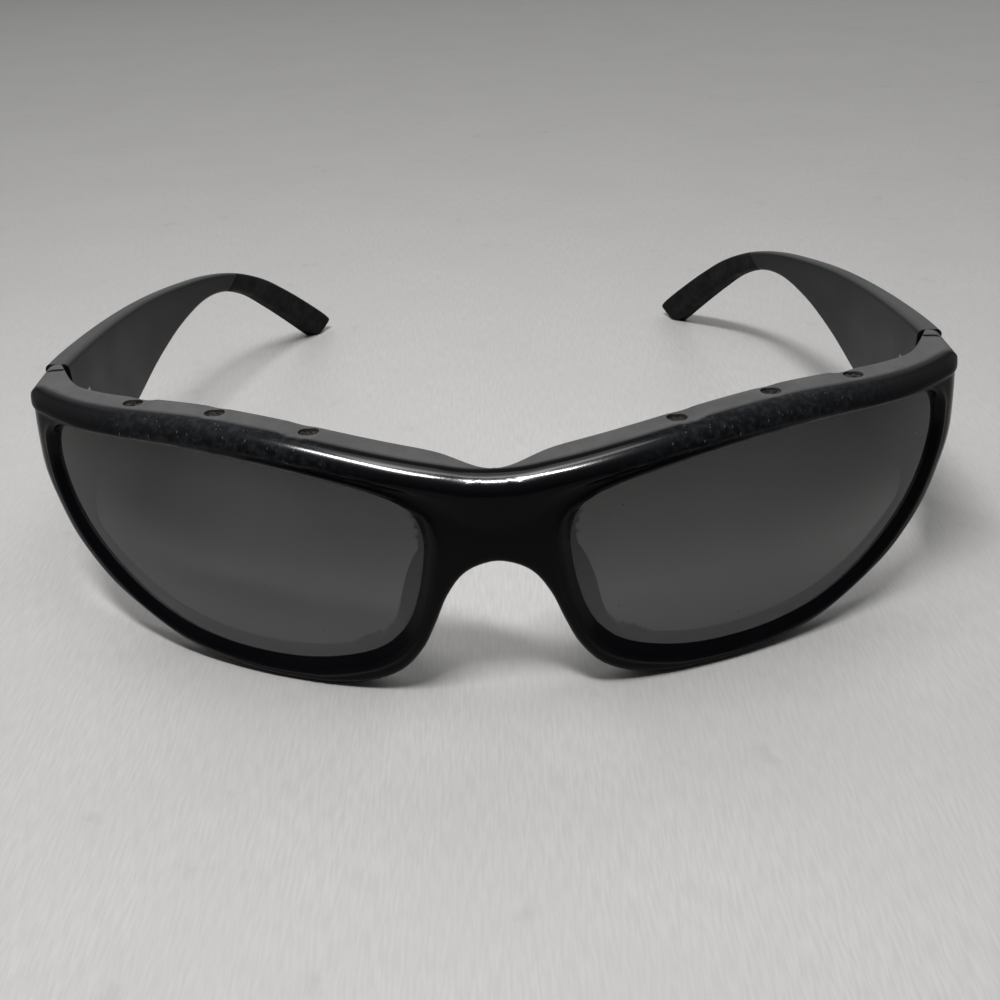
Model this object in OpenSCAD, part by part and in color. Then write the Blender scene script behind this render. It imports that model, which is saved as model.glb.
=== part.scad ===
// Wraparound sport sunglasses, standing on a table with both temples open.
// Millimetres. +Z is up, the front faces -Y and +X is the wearer's left side.
// The origin is the middle of the bounding box at table height.
// Every side piece is drawn once, at +X, and mirrored for the other side.

/* [Front] */
// Radius of the wrap round the face, seen from above
wrap_r = 105; // [100:1:115]
// Radius of the front's upright curve
upright_r = 130; // [120:5:200]
// Lean of the front, top towards the temples, in degrees
lean = 7; // [5:0.5:9]
// Height of the brow's top edge over the bridge
bridge_z = 35.1; // [34.5:0.1:35.5]
// Height of the brow's top edge at its highest point
brow_z = 39.8; // [39:0.1:40.5]
// Depth of the rims from front to back
rim_depth = 5; // [4.8:0.1:5.4]
// Depth of the brow from front to back
brow_depth = 6; // [5.8:0.1:6.6]

/* [Lenses] */
// Thickness of a lens
lens_t = 1.8; // [1.6:0.1:1.8]
// Depth of the lens face behind the front's face
lens_d = 1.6; // [1.5:0.1:1.7]

/* [Vents] */
// Length of a vent hole along the brow
vent_len = 3; // [2.6:0.1:3.2]
// Width of a vent hole from front to back
vent_w = 2.1; // [1.8:0.1:2.2]

/* [Temples] */
// Thickness of a temple at the hinge
temple_t = 4; // [3.8:0.1:4.2]
// Thickness of a temple at its thinnest
temple_thin = 3; // [2.8:0.1:3.6]
// How far the tip bows in from the hinge
tip_bow = 28; // [26:0.5:29]

/* [Hinges] */
// Radius of the hinge screw's shank
pin_r = 0.7; // [0.6:0.05:0.75]
// Running clearance round the shank
pin_gap = 0.05; // [0.03:0.01:0.08]
// Radius of a hinge barrel
barrel_r = 1.25; // [1.2:0.05:1.3]

/* [Hidden] */
// Y of the front's face at the middle of the nose arch, with no curve or lean
front_y = -73.75;
// Height about which the upright curve is drawn
mid_z = 20;
// X of the brow's highest point, and how far the brow falls from there to the endpiece
brow_x = 41;
brow_fall = 2.3;
brow_run = 27;
// How soon the brow rises beside the bridge: 1 is a plain half wave
brow_bend = 0.76;
// The rolled brow: its height, how far it stands proud, and how far back its top edge lies
roll_h = 2.6;
roll_out = 1;
ridge_d = 1.8;
// How far the lip over a lens stands out of the hollow under the roll
lip_out = 0.45;
// Rounding of the front's outer edge, how much more the endpiece has, and of the back edge
edge_r = 1.3;
end_round = 0.9;
back_r = 0.45;
// Depth of the lens groove, and play on each side of the lens
groove = 1.1;
play = 0.05;
// Bevel from the lens up to the front's face, beside the lens and over it
bevel = 1.7;
top_bevel = 0.35;
// Y of the seam between endpiece and temple, and how far the endpiece reaches in behind the lens
seam_y = front_y + 43.2;
endpiece_in = 0.5;
// Hinge axis, and the height of the hinge
axis_x = 68.5;
axis_y = seam_y + 0.15;
hinge_z0 = 21;
hinge_h = 10.5;
knuckle_gap = 0.15;
knuckle_h = (hinge_h - 2 * knuckle_gap) / 3;
leaf_t = 0.75;
leaf_len = 7;
leaf_x = axis_x + barrel_r - leaf_t;
// Play round a leaf, and how far its recess is cut open towards the inner side
pocket = 0.05;
leaf_open = 2.6;
screw_r = 0.55;
// Where the vents stand on the brow
vent_xs = [25.8, 39.8, 53.4];
vent_d = 4.3;
vent_names = ["inner", "middle", "outer"];
scoop_r = 11;
scoop_deep = 0.35;
// The slot in the top of the endpiece
slot_x = 70.1;
slot_len = 2.8;
slot_w = 0.8;
slot_back = 3.1;
slot_deep = 0.7;
// Stations for each step between two outline points
per = 2;
$fn = 48;

// Outline of the half front, from the top of the bridge round by the temple side to the
// top of the nose arch and up the middle again: [lens edge x, z, outer edge x, z].
outline = [
    [15.2, 31.3, 0, top_z(0)], [19, 32.7, 9, top_z(9)], [24, 33.7, 18, top_z(18)],
    [31, 34.7, 27.5, top_z(27.5)], [38, 35.3, 37, top_z(37)], [46, 35.4, 46.5, top_z(46.5)],
    [53.5, 35, 55.5, top_z(55.5)], [59.5, 34.4, 62.5, top_z(62.5)],
    [63.6, 33.7, 67.8, top_z(67.8)], [66.6, 32.8, 71.7, 37.1], [68.3, 30.6, 72.8, 34.4],
    [68.6, 27.6, 73, 28.6], [68.2, 24.2, 72.7, 24], [66.9, 20.2, 71, 19.4],
    [64.3, 16, 68, 14], [60.3, 12, 62.8, 9.4], [55, 8.2, 56.5, 5.7],
    [48.8, 5.4, 49.5, 2.4], [42, 4, 42.2, 0.8], [35, 3.6, 34.5, 0], [28, 4, 27, 0],
    [21.5, 5.5, 20, 1.1], [17.3, 7.4, 14.8, 3.6], [14.5, 10, 11.4, 7.6],
    [12.7, 13, 9.3, 12], [11.5, 16.6, 7.3, 16.8], [10.8, 19.8, 4.4, 20.6],
    [10.4, 22.4, 0, 22.1], [10.3, 25, 0, 25.4], [11, 27.8, 0, 29], [12.7, 29.8, 0, 32.2]
];
steps = len(outline);
// Steps at which the top edge ends and the nose arch meets the middle
top_end = 8;
arch_end = 27;
// Side view of a temple: [upper edge y, z, lower edge y, z], y counted from the front's face
temple_line = [
    [43.5, 37.2, 43.5, 18], [50, 36.6, 50, 16.5], [60, 35.4, 60, 15.9], [72, 33.9, 72, 16.7],
    [86, 32, 85, 19.4], [99, 29.8, 97, 22], [110, 27.6, 107, 23.2], [119, 24.8, 115, 22],
    [127, 20.5, 122.5, 18.4], [133.5, 15.2, 129, 12.8], [139.5, 9.4, 135, 6.8],
    [144, 4.6, 139.6, 1.8], [145.6, 2.4, 141.6, -0.4]
];
// X of a temple's outer face at the seam
temple_out = 73;
// Steps of the temple where the rubber grip begins and where the tang inside it ends
grip_start = 7;
tang_end = 11;
// Thickness of the rubber over the tang
rubber_t = 1;

function smooth(t) = let (c = min(max(t, 0), 1)) c * c * (3 - 2 * c);
function mix(a, b, t) = a + (b - a) * t;
function curve(p, q, r, s, t) = 0.5 * (2 * q + (r - p) * t + (2 * p - 5 * q + 4 * r - s) * t * t
    + (3 * q - p - 3 * r + s) * t * t * t);
function flip(p) = [-p[0], p[1]];

// Height of the brow's top edge: a half wave up from the bridge, fuller beyond the bridge's
// middle, then a slow fall to the temple
function top_z(x) = x < brow_x
    ? mix(bridge_z, brow_z, pow((1 - cos(180 * x / brow_x)) / 2, mix(1, brow_bend, smooth(x / 8))))
    : brow_z - brow_fall * smooth((x - brow_x) / brow_run);
// The wrapped face that everything on the front is measured from
function wrap_y(x, z) = front_y + z * tan(lean) + pow(z - mid_z, 2) / (2 * upright_r)
    + wrap_r - sqrt(wrap_r * wrap_r - x * x);
function on_face(x, z, d) = [x, wrap_y(x, z) + d, z];

// Lens edge and outer edge at a station, counted in outline steps
function lens_at(i) = let (p = outline[(i + steps) % steps]) [p[0], p[1]];
function outer_at(i) = let (p = outline[(i + steps) % steps]) [p[2], p[3]];
function lens_edge(s) = let (i = floor(s))
    curve(lens_at(i - 1), lens_at(i), lens_at(i + 1), lens_at(i + 2), s - i);
function outer_edge(s) = let (i = floor(s), t = s - i,
    before = i == 0 ? flip(outer_at(1)) : outer_at(i - 1),
    after = i == arch_end - 1 ? flip(outer_at(arch_end - 1)) : outer_at(i + 2),
    p = curve(before, outer_at(i), outer_at(i + 1), after, t))
    i >= arch_end ? mix(outer_at(i), outer_at(i + 1), t)
    : s <= top_end ? [p[0], top_z(p[0])] : [max(p[0], 0), max(p[1], 0)];

// Distance from the rounded outer edge: temple side, bottom and nose arch
rounded_edge = [for (s = [top_end + 1 : 0.5 : arch_end]) outer_edge(s)];
function to_line(p, a, b) = let (u = b - a, t = min(max((p - a) * u / (u * u), 0), 1)) norm(p - a - u * t);
function edge_gap(p) = min([for (i = [0 : len(rounded_edge) - 2])
    to_line(p, rounded_edge[i], rounded_edge[i + 1])]);

// Depth of the front's face: the rolled brow, and the rounding at the outer edge
function brow_face(x, u) = u < roll_h
    ? ridge_d - (ridge_d + roll_out) * sqrt(1 - pow(1 - max(u, 0) / roll_h, 2))
    : -roll_out * (1 - smooth((u - roll_h) / (1.1 + 4.9 * exp(-pow(x / 9, 2)))));
function round_at(x) = edge_r + end_round * smooth((x - 60) / 8);
function rounding(v, r) = r * (1 - sqrt(1 - pow(max(1 - v / r, 0), 2)));
function face_d(x, z) = brow_face(x, top_z(x) - z)
    + rounding(edge_gap([x, z]), round_at(x)) * smooth((38 - z) / 4);
// Depth of the back: rim, deeper brow, the notch over the nose and the endpiece
function rim_back(x, u) = rim_depth + (brow_depth - rim_depth) * (1 - smooth((u - 4) / 3))
    - 4 * exp(-pow(x / 5.5, 2)) * (1 - smooth((u - 1) / 6));
function back_d(x, z) = mix(rim_back(x, top_z(x) - z), seam_y - wrap_y(x, z), endpiece_at(x, z));
// How far the back has gone from rim to endpiece: a hollow curve at the top, steeper below it
function endpiece_at(x, z) = smooth((z - 13) / 5)
    * pow(min(max(x - 63, 0) / (4.8 + 2.2 * smooth((z - 32) / 3)), 1), 2.6);

// One closed section of the front at a station
function front_section(s) =
    let (a = lens_edge(s), b = outer_edge(s), w = norm(b - a), middle = s >= arch_end,
        over = smooth(1.5 - abs(s - 4.5) / 4.5) + smooth(s - steps + 1.5) * 0.5,
        bev = mix(bevel, top_bevel, min(over, 1)),
        zone = mix(round_at(b[0]), roll_h, min(over, 1)),
        reach = endpiece_in * smooth((s - 8) / 1.5) * smooth((14.5 - s) / 1.5),
        front = [bev, (bev + w - zone) / 2, for (q = [0 : 4]) w - zone * (1 - sin(q * 22.5))],
        back = [w - back_r, (w - reach) / 2, back_r - reach],
        at = function (t) a + (b - a) * t / w,
        dip = middle ? 0 : back_r)
    [on_face(a[0], a[1], lens_d - play),
     for (t = front) let (p = at(t), lip = t == bev ? lip_out * min(over, 1) : 0)
         on_face(p[0], p[1], face_d(p[0], p[1]) - lip),
     on_face(b[0], b[1], (face_d(b[0], b[1]) + back_d(b[0], b[1])) / 2),
     on_face(b[0], b[1], back_d(b[0], b[1]) - dip),
     for (t = back) let (p = at(t)) on_face(p[0], p[1], back_d(p[0], p[1])),
     let (p = at(-reach)) on_face(p[0], p[1], back_d(p[0], p[1]) - back_r),
     let (p = at(-reach)) on_face(p[0], p[1], rim_depth - 0.6),
     on_face(a[0], a[1], rim_depth - 0.9),
     on_face(a[0], a[1], lens_d + lens_t + play),
     let (p = at(groove)) on_face(p[0], p[1], lens_d + lens_t + play),
     let (p = at(groove)) on_face(p[0], p[1], lens_d - play)];

function quads(n, m, closed) = [for (i = [0 : n - (closed ? 1 : 2)], j = [0 : m - 1])
    let (k = (i + 1) % n, l = (j + 1) % m) [i * m + j, i * m + l, k * m + l, k * m + j]];
function split(f) = [[f[0], f[1], f[2]], [f[0], f[2], f[3]]];
function turned(f) = [for (i = [len(f) - 1 : -1 : 0]) f[i]];

// A solid skinned over a row of closed sections, with flat ends
module skin(rings) {
    n = len(rings);
    m = len(rings[0]);
    ends = [for (j = [1 : m - 2]) each [[0, j + 1, j], [(n - 1) * m, (n - 1) * m + j, (n - 1) * m + j + 1]]];
    polyhedron([for (r = rings) each r], concat([for (f = quads(n, m, false)) each split(f)], ends));
}

// The front's two halves as one closed solid, joined along the middle
module front_shell() {
    rings = [for (k = [0 : steps * per - 1]) front_section(k / per)];
    half = [for (r = rings) each r];
    count = len(half);
    walls = [for (f = quads(len(rings), len(rings[0]), true)) if (max([for (i = f) half[i][0]]) > 0.001) f];
    other = [for (f = walls) turned([for (i = f) i + count])];
    polyhedron(concat(half, [for (p = half) [-p[0], p[1], p[2]]]),
        [for (f = concat(walls, other)) each split(f)]);
}

// Upright block with round ends, along X
module obround(len, wide, h) {
    half = (len - wide) / 2;
    for (m = [-1, 1]) translate([m * half, 0, 0]) cylinder(r = wide / 2, h = h);
    translate([-half, -wide / 2, 0]) cube([2 * half, wide, h]);
}

module both() {
    children();
    mirror([1, 0, 0]) children();
}

// A vent: a shallow scoop at the brow's back edge and a hole down to the lens
module vent(x) {
    z = top_z(x);
    y = wrap_y(x, z);
    translate([x, y + vent_d, z - 8]) obround(vent_len, vent_w, 12);
    translate([x, y + vent_d, z + scoop_r - scoop_deep]) sphere(r = scoop_r);
}

// Slot moulded in the top of the endpiece
module endpiece_slot() {
    translate([slot_x - slot_len / 2, seam_y - slot_back, top_z(slot_x) - slot_deep])
        cube([slot_len, slot_w, slot_deep + 2]);
}

// Room for the hinge leaf and barrels; towards is -1 into the endpiece, 1 into the temple
module hinge_room(towards) {
    translate([axis_x, axis_y, hinge_z0 - 0.4]) cylinder(r = barrel_r + 0.35, h = hinge_h + 1.6);
    translate([leaf_x - leaf_open, towards < 0 ? axis_y - leaf_len - pocket : axis_y,
        hinge_z0 + leaf_low(towards) - pocket])
        cube([leaf_t + leaf_open + pocket, leaf_len + pocket, leaf_high(towards) + 2 * pocket]);
}
// The temple's leaf is as tall as its knuckle and the front's as tall as the hinge
function leaf_low(towards) = towards < 0 ? 0 : 1.5;
function leaf_high(towards) = hinge_h - 2 * leaf_low(towards);
function leaf_screw_zs(towards) = [for (k = [-1, 1]) hinge_z0 + hinge_h / 2 + k * leaf_high(towards) / 3.6];
function leaf_screw_y(towards) = axis_y + towards * (leaf_len - 2);

module leaf_screw_holes(towards, r) {
    for (z = leaf_screw_zs(towards))
        translate([leaf_x - 1, leaf_screw_y(towards), z]) rotate([0, 90, 0]) cylinder(r = r, h = 4);
}

module front_frame() {
    color([0.07, 0.07, 0.08]) difference() {
        front_shell();
        both() {
            for (x = vent_xs) vent(x);
            endpiece_slot();
            hinge_room(-1);
            leaf_screw_holes(-1, screw_r);
        }
    }
}

// A lens as rings from the middle of its face out to the edge and back behind
module lens() {
    shares = [0.02, 0.4, 0.75, 1];
    centre = [41, 20];
    edge = [for (k = [0 : steps * per - 1]) let (a = lens_edge(k / per), b = outer_edge(k / per))
        a + (b - a) * (groove - 0.1) / norm(b - a)];
    loop = function (share, d) [for (p = edge) let (q = mix(centre, p, share)) on_face(q[0], q[1], d)];
    color([0.1, 0.1, 0.11, 0.8]) skin([
        for (share = shares) loop(share, lens_d + lens_t),
        for (i = [3 : -1 : 0]) loop(shares[i], lens_d)]);
}

// Foam strip that seals the nasal edge of the lens from behind
module lens_gasket() {
    d = lens_d + lens_t + play;
    section = [[-0.1, d], [-0.9, d], [-1, d + 0.8], [-0.6, d + 1.1], [-0.2, d + 0.9]];
    rings = [for (s = [21 : 0.5 : 33.5])
        let (a = lens_edge(s % steps), b = outer_edge(s % steps), w = norm(b - a))
        [for (c = section) let (p = a + (b - a) * c[0] / w) on_face(p[0], p[1], c[1])]];
    color([0.05, 0.05, 0.05]) skin(turned(rings));
}

// Soft pad on the back of the front beside the nose: a crescent that flares out and back
module nose_pad() {
    line = [[7.6, 23.4], [8.8, 18.4], [10.6, 13], [13, 8.4], [16.6, 5]];
    count = 12;
    ring = function (t) let (i = min(floor(t * 4), 3),
        at = function (k) line[min(max(k, 0), 4)],
        c = curve(at(i - 1), at(i), at(i + 1), at(i + 2), t * 4 - i),
        swell = sin(180 * pow(t, 0.85)), deep = 0.7 + 3 * swell, thick = 0.5 + 0.85 * swell,
        y = wrap_y(c[0], c[1]) + rim_depth + 0.05 + deep)
        [for (k = [0 : count - 1]) let (u = deep * cos(360 * k / count), v = thick * sin(360 * k / count))
            [c[0] + 1.6 * swell + u * sin(28) + v * cos(28), y + u * cos(28) - v * sin(28), c[1]]];
    color([0.09, 0.09, 0.1]) skin([for (t = [0.97 : -0.94 / 14 : 0.029]) ring(t)]);
}

// Outer face of a temple in plan, and the temple's thickness, along its length
function temple_x(y) = temple_out - tip_bow * pow(max(y - 40, 0) / 106, 2.6);
function temple_wide(y) = mix(temple_t, temple_thin, smooth((y - 42) / 55)) + 1.1 * smooth((y - 112) / 30);
function temple_at(i) = temple_line[min(max(i, 0), len(temple_line) - 1)];
function temple_point(t) = let (i = min(floor(t), len(temple_line) - 2))
    curve(temple_at(i - 1), temple_at(i), temple_at(i + 1), temple_at(i + 2), t - i);

// A rounded section of a temple, shrunk on every side by inset
function temple_section(t, inset = 0) =
    let (p = temple_point(t), low = [p[2], p[3]], up = [p[0], p[1]], h = norm(up - low),
        y = (p[0] + p[2]) / 2, wide = temple_wide(y) - 2 * inset, r = min(1.1, wide * 0.35),
        tall = h - 2 * inset)
    [for (k = [0 : 15]) let (quarter = floor(k / 4), angle = 90 * quarter + 30 * (k % 4),
        sx = quarter == 0 || quarter == 3 ? 1 : -1, sz = quarter < 2 ? 1 : -1,
        u = sx * (wide / 2 - r) + r * cos(angle), v = (sz * (tall / 2 - r) + r * sin(angle)) / h + 0.5,
        q = mix(low, up, v))
        [temple_x(q[0]) - temple_wide(y) / 2 + u, front_y + q[0], max(q[1], 0)]];

// The temple, stepped down to the tang that the grip is moulded over
module temple() {
    color([0.08, 0.08, 0.09]) difference() {
        skin([for (t = [0 : 0.5 : grip_start]) temple_section(t),
            for (t = [grip_start : 0.5 : tang_end]) temple_section(t, rubber_t)]);
        hinge_room(1);
        leaf_screw_holes(1, screw_r);
    }
}

// Rubber ear grip moulded over the thin end of the temple
module temple_grip() {
    last = len(temple_line) - 1;
    color([0.05, 0.05, 0.06]) difference() {
        skin([for (t = [grip_start + 0.02 : 0.5 : last]) temple_section(t), temple_section(last, 0.5)]);
        skin([for (t = [grip_start - 0.5 : 0.5 : tang_end]) temple_section(t, rubber_t - play)]);
    }
}

// Barrel knuckle round the hinge axis, bored for the screw
module knuckle(z, bore) {
    translate([axis_x, axis_y, z]) difference() {
        cylinder(r = barrel_r, h = knuckle_h);
        translate([0, 0, -1]) cylinder(r = bore, h = knuckle_h + 2);
    }
}

module hinge_leaf(towards) {
    near = axis_y + towards * (barrel_r + 0.45);
    low = hinge_z0 + leaf_low(towards);
    // the plate, from its neck beside the barrel to its far end
    difference() {
        translate([leaf_x, min(near, axis_y + towards * leaf_len), low])
            cube([leaf_t, leaf_len - barrel_r - 0.45, leaf_high(towards)]);
        leaf_screw_holes(towards, screw_r + pocket);
    }
    knuckles = towards < 0 ? [0, 2] : [1];
    for (k = knuckles) {
        z = hinge_z0 + k * (knuckle_h + knuckle_gap);
        difference() {
            union() {
                knuckle(z, pin_r + 0.001);
                translate([leaf_x, min(near, axis_y), z]) cube([leaf_t, barrel_r + 0.45, knuckle_h]);
            }
            translate([axis_x, axis_y, z - 1])
                cylinder(r = pin_r + (towards < 0 ? 0 : pin_gap), h = knuckle_h + 2);
        }
    }
}
module hinge_front_leaf() { color("dimgray") hinge_leaf(-1); }
module hinge_temple_leaf() { color("gray") hinge_leaf(1); }

// Slotted screw that is the hinge pin
module hinge_screw() {
    top = hinge_z0 + hinge_h;
    color("silver") translate([axis_x, axis_y, 0]) difference() {
        union() {
            translate([0, 0, hinge_z0 - 0.2]) cylinder(r = pin_r, h = hinge_h + 0.3);
            translate([0, 0, top]) cylinder(r = 1.15, h = 0.7);
        }
        translate([0, 0, top + 0.6]) cube([3, 0.35, 0.6], center = true);
    }
}

// The two small screws that hold one leaf
module leaf_screws(towards) {
    color("silver") for (z = leaf_screw_zs(towards))
        translate([leaf_x, leaf_screw_y(towards), z]) rotate([0, 90, 0]) {
            translate([0, 0, -0.3]) cylinder(r = 0.95, h = 0.3);
            cylinder(r = screw_r - 0.01, h = 2.6);
        }
}

// Open-cell foam in a vent hole
module vent_foam(x) {
    z = top_z(x);
    color([0.12, 0.11, 0.1]) translate([x, wrap_y(x, z) + vent_d, z - 3.6])
        obround(vent_len - 0.06, vent_w - 0.06, 3);
}

module piece(name) {
    if (name == "lens") lens();
    if (name == "lens_gasket") lens_gasket();
    if (name == "nose_pad") nose_pad();
    if (name == "temple") temple();
    if (name == "temple_grip") temple_grip();
    if (name == "hinge_front_leaf") hinge_front_leaf();
    if (name == "hinge_temple_leaf") hinge_temple_leaf();
    if (name == "hinge_screw") hinge_screw();
    if (name == "front_leaf_screws") leaf_screws(-1);
    if (name == "temple_leaf_screws") leaf_screws(1);
    for (k = [0 : 2]) if (name == str("vent_foam_", vent_names[k])) vent_foam(vent_xs[k]);
}

SIDE_PIECES = ["lens", "lens_gasket", "nose_pad", "temple", "temple_grip", "hinge_front_leaf",
    "hinge_temple_leaf", "hinge_screw", "front_leaf_screws", "temple_leaf_screws",
    for (v = vent_names) str("vent_foam_", v)];

front_frame();
for (p = SIDE_PIECES) {
    piece(p);
    mirror([1, 0, 0]) piece(p);
}
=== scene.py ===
"""Wraparound sport sunglasses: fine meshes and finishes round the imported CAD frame.

Shapes are worked out in millimetres, on the same curves as the part's own front and temples,
and turned into metres when a mesh is made. The front faces -Y, +X is the wearer's left.
"""
import math

import bmesh
import bpy
import numpy as np
from bpy.props import FloatProperty, FloatVectorProperty, PointerProperty
from mathutils import Matrix, Vector, noise


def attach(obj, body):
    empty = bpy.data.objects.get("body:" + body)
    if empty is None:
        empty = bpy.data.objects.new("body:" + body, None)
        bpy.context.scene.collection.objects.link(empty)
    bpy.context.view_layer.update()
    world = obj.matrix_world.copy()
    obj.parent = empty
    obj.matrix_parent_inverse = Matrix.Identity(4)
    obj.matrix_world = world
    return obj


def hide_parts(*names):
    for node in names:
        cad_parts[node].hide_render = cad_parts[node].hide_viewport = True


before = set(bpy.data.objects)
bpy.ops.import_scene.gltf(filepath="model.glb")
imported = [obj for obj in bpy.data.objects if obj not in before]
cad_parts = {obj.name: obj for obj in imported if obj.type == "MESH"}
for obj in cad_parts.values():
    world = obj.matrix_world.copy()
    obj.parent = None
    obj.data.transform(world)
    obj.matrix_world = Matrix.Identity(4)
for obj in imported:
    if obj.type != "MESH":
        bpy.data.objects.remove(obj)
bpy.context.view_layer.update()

bl_info = {
    "name": "Wraparound Sunglasses",
    "version": (1, 0, 0),
    "blender": (4, 5, 0),
    "location": "3D View > Sidebar > Sunglasses",
    "description": "Builds the sunglasses' pieces and their studio",
    "category": "Object",
}

MM = 0.001
SAME_PLACE = 1e-7  # metres: points nearer than this are one point

# ---- The front's shape, in millimetres ----
FRONT_Y = -73.75
WRAP_R, UPRIGHT_R, MID_Z = 105.0, 130.0, 20.0
LEAN = math.tan(math.radians(7))
BRIDGE_Z, BROW_Z, BROW_X, BROW_FALL, BROW_RUN, BROW_BEND = 35.1, 39.8, 41.0, 2.3, 27.0, 0.76
ROLL_H, ROLL_OUT, RIDGE_D = 2.6, 1.0, 1.8
LIP_OUT = 0.45
RIM_DEPTH, BROW_DEPTH = 5.0, 6.0
EDGE_R, BACK_R, END_ROUND = 1.3, 0.45, 0.9
GROOVE, PLAY = 1.1, 0.05
BEVEL, TOP_BEVEL = 1.7, 0.35
LENS_T, LENS_D = 1.8, 1.6
LENS_BACK = LENS_D + LENS_T + PLAY
SEAM_Y = FRONT_Y + 43.2
ENDPIECE_IN = 0.5
TOP_END, ARCH_END = 8, 27
# Half front, from the top of the bridge round by the temple: lens edge x, z, outer edge x, z
OUTLINE = np.array([
    (15.2, 31.3, 0, 0), (19, 32.7, 9, 0), (24, 33.7, 18, 0), (31, 34.7, 27.5, 0), (38, 35.3, 37, 0),
    (46, 35.4, 46.5, 0), (53.5, 35, 55.5, 0), (59.5, 34.4, 62.5, 0), (63.6, 33.7, 67.8, 0),
    (66.6, 32.8, 71.7, 37.1), (68.3, 30.6, 72.8, 34.4), (68.6, 27.6, 73, 28.6), (68.2, 24.2, 72.7, 24),
    (66.9, 20.2, 71, 19.4), (64.3, 16, 68, 14), (60.3, 12, 62.8, 9.4), (55, 8.2, 56.5, 5.7),
    (48.8, 5.4, 49.5, 2.4), (42, 4, 42.2, 0.8), (35, 3.6, 34.5, 0), (28, 4, 27, 0),
    (21.5, 5.5, 20, 1.1), (17.3, 7.4, 14.8, 3.6), (14.5, 10, 11.4, 7.6), (12.7, 13, 9.3, 12),
    (11.5, 16.6, 7.3, 16.8), (10.8, 19.8, 4.4, 20.6), (10.4, 22.4, 0, 22.1), (10.3, 25, 0, 25.4),
    (11, 27.8, 0, 29), (12.7, 29.8, 0, 32.2)])
STEPS = len(OUTLINE)

# ---- Vents, endpieces and hinges ----
VENT_XS = (25.8, 39.8, 53.4)
VENT_NAMES = ("inner", "middle", "outer")
VENT_D, VENT_LEN, VENT_W = 4.3, 3.0, 2.1
SCOOP_R, SCOOP_DEEP = 11.0, 0.35
SLOT_X, SLOT_LEN, SLOT_W, SLOT_BACK, SLOT_DEEP = 70.1, 2.8, 0.8, 3.1, 0.7
AXIS_X, AXIS_Y = 68.5, SEAM_Y + 0.15
HINGE_Z, HINGE_H, BARREL_R = 21.0, 10.5, 1.25
LEAF_LEN, LEAF_T, LEAF_OPEN = 7.0, 0.75, 2.6
LEAF_X = AXIS_X + BARREL_R - LEAF_T
BARREL_ROOM, ROOM_BELOW, ROOM_ABOVE = 0.35, 0.4, 1.2
TEMPLE_LEAF_LESS = 1.5  # how much shorter the temple's leaf is at each end

# ---- Temples ----
TEMPLE_OUT, TIP_BOW, TEMPLE_T, TEMPLE_THIN = 73.0, 28.0, 4.0, 3.0
# Side view: upper edge y, z and lower edge y, z, with y counted from the front's face
TEMPLE_LINE = np.array([
    (43.5, 37.2, 43.5, 18), (50, 36.6, 50, 16.5), (60, 35.4, 60, 15.9), (72, 33.9, 72, 16.7),
    (86, 32, 85, 19.4), (99, 29.8, 97, 22), (110, 27.6, 107, 23.2), (119, 24.8, 115, 22),
    (127, 20.5, 122.5, 18.4), (133.5, 15.2, 129, 12.8), (139.5, 9.4, 135, 6.8),
    (144, 4.6, 139.6, 1.8), (145.6, 2.4, 141.6, -0.4)])
GRIP_START = 7


def smooth(t):
    c = np.clip(t, 0, 1)
    return c * c * (3 - 2 * c)


def mix(a, b, t):
    return a + (b - a) * t


def soft_max(a, b, c):
    """The larger of two heights, with a rounded change from one to the other."""
    return (a + b + np.sqrt((a - b) ** 2 + c * c)) / 2


def curve(p, q, r, s, t):
    """A smooth line through q and r, for points before and after them."""
    return 0.5 * (2 * q + (r - p) * t + (2 * p - 5 * q + 4 * r - s) * t ** 2
                  + (3 * q - p - 3 * r + s) * t ** 3)


def top_z(x):
    """Height of the brow's top edge: a half wave up from the bridge, fuller beyond the
    bridge's middle, then a slow fall to the temple."""
    x = np.abs(x)
    wave = (1 - np.cos(np.pi * np.minimum(x, BROW_X) / BROW_X)) / 2
    bend = mix(1, BROW_BEND, smooth(np.minimum(x, BROW_X) / 8))
    rise = mix(BRIDGE_Z, BROW_Z, np.power(wave, bend))
    return np.where(x < BROW_X, rise, rise - BROW_FALL * smooth((x - BROW_X) / BROW_RUN))


def wrap_y(x, z):
    """The wrapped face that the whole front is measured from."""
    return (FRONT_Y + z * LEAN + (z - MID_Z) ** 2 / (2 * UPRIGHT_R)
            + WRAP_R - np.sqrt(WRAP_R ** 2 - x * x))


def on_face(p, d):
    return np.stack([p[:, 0], wrap_y(p[:, 0], p[:, 1]) + d, p[:, 1]], axis=1)


def outline_point(i, column):
    p = OUTLINE[np.asarray(i) % STEPS][..., column:column + 2].copy()
    if column == 2:
        top = np.asarray(i) % STEPS <= TOP_END
        p[..., 1] = np.where(top, top_z(p[..., 0]), p[..., 1])
    return p


def lens_edge(s):
    i = np.floor(s).astype(int)
    t = (s - i)[:, None]
    return curve(*(outline_point(i + k, 0) for k in (-1, 0, 1, 2)), t)


def outer_edge(s):
    i = np.floor(s).astype(int)
    t = (s - i)[:, None]
    flip = np.array([-1, 1])
    before = np.where((i == 0)[:, None], outline_point(1, 2) * flip, outline_point(i - 1, 2))
    after = np.where((i == ARCH_END - 1)[:, None], outline_point(ARCH_END - 1, 2) * flip,
                     outline_point(i + 2, 2))
    p = curve(before, outline_point(i, 2), outline_point(i + 1, 2), after, t)
    line = mix(outline_point(i, 2), outline_point(i + 1, 2), t)
    p = np.where((i >= ARCH_END)[:, None], line, np.maximum(p, 0))
    p[:, 1] = np.where(s <= TOP_END, top_z(p[:, 0]), p[:, 1])
    return p


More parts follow.
